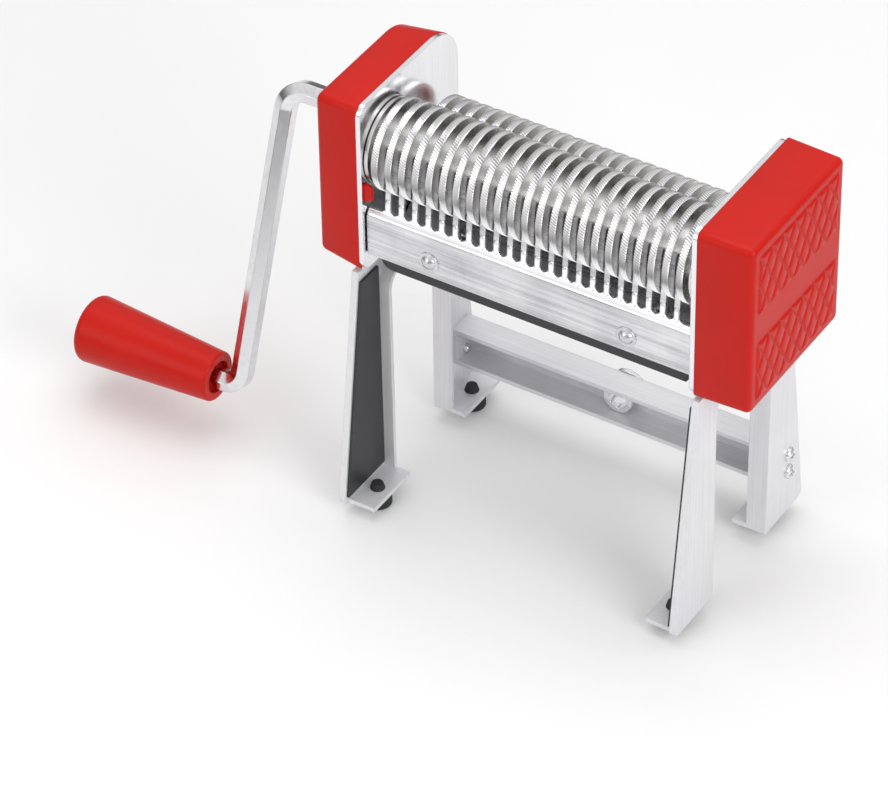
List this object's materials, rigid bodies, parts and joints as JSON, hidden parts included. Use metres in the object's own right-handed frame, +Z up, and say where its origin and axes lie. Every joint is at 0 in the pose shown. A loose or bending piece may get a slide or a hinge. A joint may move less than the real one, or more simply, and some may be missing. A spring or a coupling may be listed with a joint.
{
  "type": "pasta cutting machine",
  "caption": "Hand-cranked pasta cutter: two meshing grooved rollers with stripper combs between red end caps, turned by a bent crank, on splayed legs with a clamp hole.",
  "frame": {"origin": "mouth of the clamp hole in the rear rail, on the middle plane of the head", "axes": "+X along the rollers to the geared end, +Y to the back, out of the clamp hole, +Z up"},
  "size_m": [0.3181, 0.1032, 0.1985],
  "materials": {
    "red_plastic": "moulded red plastic, satin gloss",
    "bright_steel": "bright chromed steel",
    "leg_steel": "satin chromed sheet steel",
    "comb_steel": "bright sheet steel with faint rolling lines",
    "roller_steel": "turned steel with knurled disc rims",
    "gear_steel": "plain machined steel",
    "bearing_bronze": "oiled bearing bronze",
    "dark_plastic": "dark grey moulded plastic",
    "rubber": "black rubber"
  },
  "bodies": {
    "frame": {"side_plate_left": "bright_steel", "side_plate_right": "bright_steel", "end_cap_left": "red_plastic", "end_cap_right": "red_plastic", "front_bush_left": "bearing_bronze", "front_bush_right": "bearing_bronze", "rear_bush_left": "bearing_bronze", "rear_bush_right": "bearing_bronze", "front_comb": "comb_steel", "rear_comb": "comb_steel", "front_comb_bar": "dark_plastic", "rear_comb_bar": "dark_plastic", "front_comb_rivets": "bright_steel", "rear_comb_rivets": "bright_steel", "tie_rod": "bright_steel", "frame_screws": "gear_steel", "leg_frame_left": "leg_steel", "leg_frame_right": "leg_steel", "leg_liner_left": "dark_plastic", "leg_liner_right": "dark_plastic", "feet": "rubber", "clamp_rail": "leg_steel", "clamp_bush": "bright_steel", "rail_screws": "bright_steel"},
    "drive": {"rear_roller": "roller_steel", "rear_gear": "gear_steel", "rear_gear_clip": "gear_steel", "rear_roller_clip": "gear_steel", "crank": "bright_steel", "grip_ring": "gear_steel"},
    "front_cutter": {"front_roller": "roller_steel", "front_gear": "gear_steel", "front_gear_clip": "gear_steel", "front_roller_clip": "gear_steel"},
    "grip": {"crank_grip": "red_plastic"}
  },
  "joints": [
    {"name": "crank_turn", "type": "hinge", "parent": "frame", "child": "drive", "pos_m": [0, -0.03646, 0.12413], "axis": [1, 0, 0], "continuous": true},
    {"name": "front_roller_turn", "type": "hinge", "parent": "frame", "child": "front_cutter", "pos_m": [0, -0.06402, 0.1394], "axis": [1, 0, 0], "continuous": true},
    {"name": "grip_spin", "type": "hinge", "parent": "drive", "child": "grip", "pos_m": [-0.1836, -0.08113, -0.002], "axis": [1, 0, 0], "continuous": true}
  ],
  "couplings": [
    {"joint": "front_roller_turn", "follows": "crank_turn", "ratio": -1}
  ]
}
